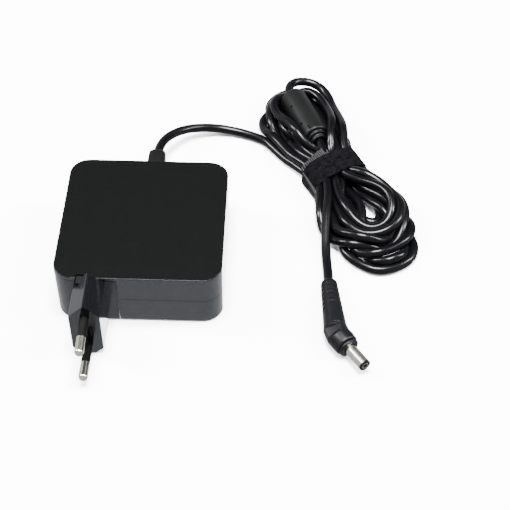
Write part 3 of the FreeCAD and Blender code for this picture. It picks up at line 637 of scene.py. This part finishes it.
# ferrite bead: rounded jacket with two ribs at its lower end
bead_profile = [(0.5, 1.9), (0.0, 2.6), (0.0, 5.0)] + corner_arc(2.0, 5.0, 2.0, 180, 90)
bead_profile += [(10, BEAD_R), (20, BEAD_R), (30.2, BEAD_R)]
bead_profile += corner_arc(BEAD_LENGTH - 1.2, BEAD_R - 1.2, 1.2, 90, 0)
bead_profile += [(BEAD_LENGTH, 5.5), (32.6, 5.4), (32.6, 5.2), (33.4, 5.2)]
bead_profile += corner_arc(33.6, 4.7, 0.5, 90, 0, 4)
bead_profile += [(34.1, 4.3), (34.0, 4.1), (35.5, 4.0)] + corner_arc(35.9, 3.6, 0.4, 90, 0, 4)
bead_profile += [(36.3, 3.0), (36.2, 2.4), (36.0, 1.9)]
bead = turned("bead_jacket", mm(*BEAD_TOP), BEAD_AXIS, bead_profile, MATERIALS["bead_plastic"])
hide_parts("bead_overmould")


# strap: band round the coil with an uneven, fuzzy edge, a tongue on top and a free tail
STRAP_HALF_W = 15.5
STRAP_MIDDLE_Z = 5.4
STRAP_TOP = 13.4
STRAP_THICK = 1.1
UPPER_ROUNDNESS = 2.4       # exponents of the section's superellipse, above and below its middle
LOWER_ROUNDNESS = 3.4


def strap_section(turn):
    """Point (across, height) on the band's outer face; turn runs from 0 to 1."""
    angle = 2 * math.pi * turn
    c, s = math.cos(angle), math.sin(angle)
    power = 2 / (UPPER_ROUNDNESS if s > 0 else LOWER_ROUNDNESS)
    reach = STRAP_TOP - STRAP_MIDDLE_Z if s > 0 else STRAP_MIDDLE_Z - 0.05
    return (STRAP_HALF_W * math.copysign(abs(c) ** power, c),
            STRAP_MIDDLE_Z + reach * math.copysign(abs(s) ** power, s))


def strap_band():
    """Outer and inner skins of the band, joined along both edges."""
    around, wide = 220, 30
    outer = []
    for i in range(around):
        v, z = strap_section(i / around)
        before, after = strap_section((i - 1) / around), strap_section((i + 1) / around)
        normal = Vector((after[1] - before[1], before[0] - after[0])).normalized()
        middle = 1.2 - 0.1 * v
        row = []
        for j in range(wide + 1):
            share = 2 * j / wide - 1
            rough = noise.noise(Vector((i * 0.45, j * 0.02, 3.1 if share > 0 else 9.4)))
            fine = noise.noise(Vector((i * 1.7, 5.5, 1.0 if share > 0 else 7.0)))
            edge = abs(share) ** 8
            u = middle + share * 7.0 + math.copysign(edge, share) * (0.35 * rough + 0.25 * fine)
            swell = 0.25 * noise.noise(Vector((u * 0.22, i * 0.07, 2.0))) - 0.35 * edge
            row.append((u, v, z, normal, swell))
        outer.append(row)
    verts = []
    for skin in (0, -STRAP_THICK):
        for row in outer:
            for u, v, z, normal, swell in row:
                place_v, place_z = v + normal.x * (swell + skin), z + normal.y * (swell + skin)
                verts.append(hank_point(u, place_v, max(place_z, 0.02 - skin)))
    count = around * (wide + 1)
    faces = []
    for i in range(around):
        near, far = i * (wide + 1), ((i + 1) % around) * (wide + 1)
        for j in range(wide):
            faces.append((near + j, far + j, far + j + 1, near + j + 1))
            faces.append((count + near + j + 1, count + far + j + 1, count + far + j, count + near + j))
        faces.append((near, count + near, count + far, far))
        faces.append((near + wide, far + wide, count + far + wide, count + near + wide))
    return verts, faces


def strip_mesh(rows, thick):
    """Flexible strip from rows of (point, outward direction), given a thickness inwards."""
    wide = len(rows[0])
    verts = [p + n * (t * MM) for t in (0, -thick) for row in rows for p, n in row]
    count = len(rows) * wide
    faces = []
    for i in range(len(rows) - 1):
        for j in range(wide - 1):
            a, b = i * wide + j, (i + 1) * wide + j
            faces.append((a, b, b + 1, a + 1))
            faces.append((count + a + 1, count + b + 1, count + b, count + a))
        for j, flip in ((0, False), (wide - 1, True)):
            a, b = i * wide + j, (i + 1) * wide + j
            faces.append((a, count + a, count + b, b) if not flip else (b, count + b, count + a, a))
    for i, flip in ((0, True), (len(rows) - 1, False)):
        for j in range(wide - 1):
            a = i * wide + j
            faces.append((a, count + a, count + a + 1, a + 1) if not flip else
                         (a + 1, count + a + 1, count + a, a))
    return verts, faces


def upper_strap_height(v):
    """Height of the band's outer face above a point across the coil."""
    share = min(abs(v) / STRAP_HALF_W, 1)
    rise = (1 - share ** UPPER_ROUNDNESS) ** (1 / UPPER_ROUNDNESS)
    return STRAP_MIDDLE_Z + (STRAP_TOP - STRAP_MIDDLE_Z) * rise


def strap_tongue():
    """Ribbed end of the band that lies on the coil beside it."""
    rows, steps, wide = [], 90, 16
    for i in range(steps + 1):
        share = i / steps
        v = -15.2 + 15.6 * share
        low, high = -6.4 - 5.0 * share ** 1.3, -2.0
        tip = max(0, (share - 0.86) / 0.14)
        high = high - tip * 3.0
        row = []
        for j in range(wide + 1):
            u = low + (high - low) * j / wide
            lean = 0.6 * math.sin(math.pi * j / wide) * (1 - tip * 0.5)
            rib = 0.16 * math.cos(2 * math.pi * i / 3) * (1 if share < 0.8 else 0.3)
            z = upper_strap_height(v * 0.985) - 0.9 + lean * 0.3 + rib
            if u > -5.2:
                z -= 0.35 * (u + 5.2)
            row.append((hank_point(u, v + 0.05 * (u + 6), z), Vector((0, 0, 1))))
        rows.append(row)
    return strip_mesh(rows, 0.8)


def strap_tail():
    """Free end of the band, standing along the coil's left side."""
    rows, steps, wide = [], 50, 12
    for i in range(steps + 1):
        share = i / steps
        u = -3.0 + 18.2 * share
        top = 7.8 - 0.6 * share - 2.4 * max(0, (share - 0.9) / 0.1) ** 2
        low = 0.6 + 0.5 * share + 1.2 * max(0, (share - 0.93) / 0.07) ** 2
        row = []
        for j in range(wide + 1):
            height = low + (top - low) * j / wide
            bow = 0.35 * math.sin(math.pi * j / wide) + 0.18 * noise.noise(Vector((u * 0.3, height * 0.3, 4)))
            v = -16.1 - bow + 0.5 * share
            row.append((hank_point(u, v, height), hank_point(0, -1, 0) - hank_point(0, 0, 0)))
        rows.append(row)
    return strip_mesh([[(p, n.normalized()) for p, n in row] for row in rows], 0.9)


strap = add_piece("strap_band", *strap_band(), MATERIALS["strap_textile"])
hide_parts("hook_loop_strap")
tongue = add_piece("strap_tongue", *strap_tongue(), ribbed_textile)
tail = add_piece("strap_tail", *strap_tail(), ribbed_textile)


# low-voltage plug: notched strain relief, faceted elbow and collar
BOOT_START = mm(85.8, -15.1, 3.9)
PLUG_ELBOW = mm(88.7, -46.2, 5.6)
BARREL_AXIS = Vector((math.cos(math.radians(-54.6)), math.sin(math.radians(-54.6)), 0))
BOOT_R = (3.8, 5.35)
FACET = (math.sin(math.radians(24)), math.cos(math.radians(24)))  # leans left of straight up
ELBOW_R = 5.6
ELBOW_LEG = 8.9


NOTCHED = (3.2, 20)         # mm along the boot between which it has notches
NOTCH_PITCH = 2.9
NOTCH_WIDTH = 1.0
NOTCH_DEPTH = 0.75
WINDOW_DEPTH = 0.12
LAST_WINDOW = 17


def boot_mesh():
    """Tapered boot with notches on both sides and sunk windows on top."""
    axis = (PLUG_ELBOW - BOOT_START).normalized()
    side, up = frame_of(axis)
    length = (PLUG_ELBOW - BOOT_START).length / MM - 1.5
    sides, step = 120, 0.2
    rings = int(length / step) + 1
    verts = []
    for ring in range(rings + 1):
        along = length * ring / rings
        base = BOOT_R[0] + (BOOT_R[1] - BOOT_R[0]) * along / length
        base -= 0.75 * max(0, 1 - along / 1.6) ** 2.2
        for k in range(sides):
            angle = 2 * math.pi * k / sides
            radius = base
            beat = (along - NOTCHED[0]) % NOTCH_PITCH
            if NOTCHED[0] < along < NOTCHED[1] and beat < NOTCH_WIDTH:
                notch = max(0, 1 - abs(beat - NOTCH_WIDTH / 2) / (NOTCH_WIDTH / 2)) ** 0.5
                flank = abs(math.cos(angle))
                radius -= NOTCH_DEPTH * notch * min(1, max(0, (flank - 0.72) / 0.12))
                top = math.sin(angle)
                if along < LAST_WINDOW:
                    radius -= WINDOW_DEPTH * notch * min(1, max(0, (top - 0.8) / 0.06))
            outward = side * math.cos(angle) + up * math.sin(angle)
            verts.append(BOOT_START + (axis * along + outward * radius) * MM)
    return verts, ring_faces(rings + 1, sides)


def elbow_mesh():
    """Bent housing: a boot-sized end, a flat-topped mitre and a straight leg."""
    into = (PLUG_ELBOW - BOOT_START).normalized()
    half_way = (into + BARREL_AXIS).normalized()
    # (centre, axis, share of the radius, share of it that is cut off flat at the top)
    stations = [(PLUG_ELBOW - into * 3.2 * MM, into, 0.93, 0.0),
                (PLUG_ELBOW - into * 2.9 * MM, into, 0.97, 0.0),
                (PLUG_ELBOW - into * 2.2 * MM, (into * 2 + half_way).normalized(), 0.99, 0.3),
                (PLUG_ELBOW + BARREL_AXIS * 1.6 * MM, (BARREL_AXIS * 2 + half_way).normalized(), 1.0, 0.3),
                (PLUG_ELBOW + BARREL_AXIS * 3.0 * MM, BARREL_AXIS, 1.0, 0.0),
                (PLUG_ELBOW + BARREL_AXIS * 5.5 * MM, BARREL_AXIS, 1.0, 0.0),
                (PLUG_ELBOW + BARREL_AXIS * (ELBOW_LEG - 1.2) * MM, BARREL_AXIS, 0.98, 0.0)]
    for step in range(1, 6):
        angle = math.radians(90 * step / 6)
        centre = PLUG_ELBOW + BARREL_AXIS * (ELBOW_LEG - 1.2 + 1.2 * math.sin(angle)) * MM
        stations.append((centre, BARREL_AXIS, 0.98 - 0.21 * (1 - math.cos(angle)), 0.0))
    sides = 96
    verts = []
    for centre, axis, share, flat in stations:
        side, up = frame_of(axis)
        for k in range(sides):
            angle = 2 * math.pi * k / sides
            x, y = math.cos(angle), math.sin(angle)
            over = x * FACET[0] + y * FACET[1] - (1 - flat)
            if over > 0:
                x, y = x - FACET[0] * over * 0.9, y - FACET[1] * over * 0.9
            verts.append(centre + (side * x + up * y) * share * ELBOW_R * MM)
    return verts, ring_faces(len(stations), sides)


boot = add_piece("plug_strain_relief", *boot_mesh(), MATERIALS["boot_rubber"])
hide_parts("plug_boot")
elbow = add_piece("plug_elbow_housing", *elbow_mesh(), MATERIALS["boot_rubber"])
soften_edges(elbow, 0.35, 14)
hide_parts("plug_elbow")
collar_profile = [(-0.3, 3.4)] + corner_arc(0.5, 4.3, 0.5, 180, 90, 4) + corner_arc(0.9, 4.3, 0.5, 90, 0, 4)
collar_profile += [(1.4, 3.2), (1.2, 3.0), (1.2, 2.75)]
collar = turned("plug_collar_ring", PLUG_ELBOW + BARREL_AXIS * ELBOW_LEG * MM, BARREL_AXIS, collar_profile,
                MATERIALS["boot_rubber"])
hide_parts("plug_collar")


# strain relief at the adapter: square tapered sleeve with rounded corners and a short step at its tip
SHELL_BACK = 37.52          # just outside the shells' rear wall
GLAND_LENGTH = 20.05        # that the stations below are given for
# (distance from the wall, share of the half width, exponent of the rounded square)
GLAND_STATIONS = [(0.0, 0.99, 6.0), (0.4, 1.0, 6.0), (7.0, 0.98, 5.5), (13.0, 0.955, 5.0), (17.4, 0.935, 4.5),
                  (18.4, 0.905, 4.2), (19.2, 0.83, 3.8), (19.8, 0.71, 3.2), (GLAND_LENGTH, 0.58, 2.6),
                  (GLAND_LENGTH, 0.5, 2.0)]


def gland_mesh():
    """Tapered square sleeve, rounder towards its tip."""
    low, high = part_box("cable_gland")
    x, z = (low[0] + high[0]) / 2 / MM, (low[2] + high[2]) / 2 / MM
    half_width = (high[0] - low[0]) / 2 / MM
    scale = (high[1] / MM - SHELL_BACK) / GLAND_LENGTH
    sides = 96
    verts = []
    for along, share, power in GLAND_STATIONS:
        half = half_width * share
        for k in range(sides):
            angle = 2 * math.pi * k / sides
            c, s = math.cos(angle), math.sin(angle)
            reach = half / (abs(c) ** power + abs(s) ** power) ** (1 / power)
            verts.append(mm(x + c * reach, SHELL_BACK + along * scale, z + s * reach))
    return verts, ring_faces(len(GLAND_STATIONS), sides)


gland = add_piece("lead_strain_relief", *gland_mesh(), MATERIALS["gland_rubber"])
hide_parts("cable_gland")

# ---------------------------------------------------------------- cord: material, mount on the adapter, CAD cables hidden
cord.data.materials.append(MATERIALS["cord_jacket"])
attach(cord, "adapter")
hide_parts("lead_cable", "bead_loop_cable", "bead_cable", "plug_cable", "cable_hank")


# ---------------------------------------------------------------- stage
def add_floor():
    """Plain white table."""
    half = 3.0
    data = bpy.data.meshes.new("floor")
    corners = [(-half, -half, 0), (half, -half, 0), (half, half, 0), (-half, half, 0)]
    data.from_pydata(corners, [], [(0, 1, 2, 3)])
    floor = bpy.data.objects.new("floor", data)
    bpy.context.scene.collection.objects.link(floor)
    s = Shader("floor")
    s.set(Roughness=0.9, Specular_IOR_Level=0.1)
    s.link(s.mix(s.spread(s.noise(3), 0, 1), (0.95, 0.95, 0.955), (0.96, 0.96, 0.96)), "Base Color")
    data.materials.append(s.material)
    floor.visible_glossy = False


WORLD_LIGHT = 1.3
# (direction, cosines between which the patch fades in, light)
WORLD_PATCHES = [((0, 0.67, 0.74), 0.80, 0.93, 0.02), ((0.75, 0.65, 0.12), 0.86, 0.95, 0.1),
                 ((0.04, 0.66, -0.75), 0.975, 0.99, 9.0)]


def add_world():
    """Pale surroundings with dark screens behind and to the right, and the lit table below and behind."""
    world = bpy.data.worlds.new("studio")
    world.use_nodes = True
    tree = world.node_tree
    coords = tree.nodes.new("ShaderNodeTexCoord").outputs["Generated"]
    strength = WORLD_LIGHT
    for direction, start, stop, light in WORLD_PATCHES:
        dot = tree.nodes.new("ShaderNodeVectorMath")
        dot.operation = "DOT_PRODUCT"
        tree.links.new(coords, dot.inputs[0])
        dot.inputs[1].default_value = direction
        patch = tree.nodes.new("ShaderNodeMapRange")
        patch.interpolation_type = "SMOOTHSTEP"
        tree.links.new(dot.outputs["Value"], patch.inputs["Value"])
        patch.inputs["From Min"].default_value = start
        patch.inputs["From Max"].default_value = stop
        patch.inputs["To Max"].default_value = light
        if isinstance(strength, bpy.types.NodeSocket):
            tree.links.new(strength, patch.inputs["To Min"])
        else:
            patch.inputs["To Min"].default_value = strength
        strength = patch.outputs["Result"]
    background = tree.nodes["Background"]
    background.inputs["Color"].default_value = (0.97, 0.98, 1.0, 1)
    tree.links.new(strength, background.inputs["Strength"])
    bpy.context.scene.world = world


def add_lamp(name, place, aim, size, power):
    """Soft rectangular lamp."""
    data = bpy.data.lights.new(name, "AREA")
    data.shape = "RECTANGLE"
    data.size, data.size_y = size
    data.energy = power
    lamp = bpy.data.objects.new(name, data)
    lamp.location = place
    lamp.rotation_euler = (Vector(aim) - Vector(place)).to_track_quat("-Z", "Y").to_euler()
    bpy.context.scene.collection.objects.link(lamp)


add_floor()
add_world()
add_lamp("overhead", (0.05, -0.05, 1.3), (0.05, 0.03, 0), (0.5, 0.5), 170)
add_lamp("left", (-1.0, 0.25, 0.9), (0.05, 0.03, 0), (0.12, 0.8), 60)
add_lamp("right", (1.1, 0.15, 0.9), (0.05, 0.03, 0), (0.12, 0.8), 60)
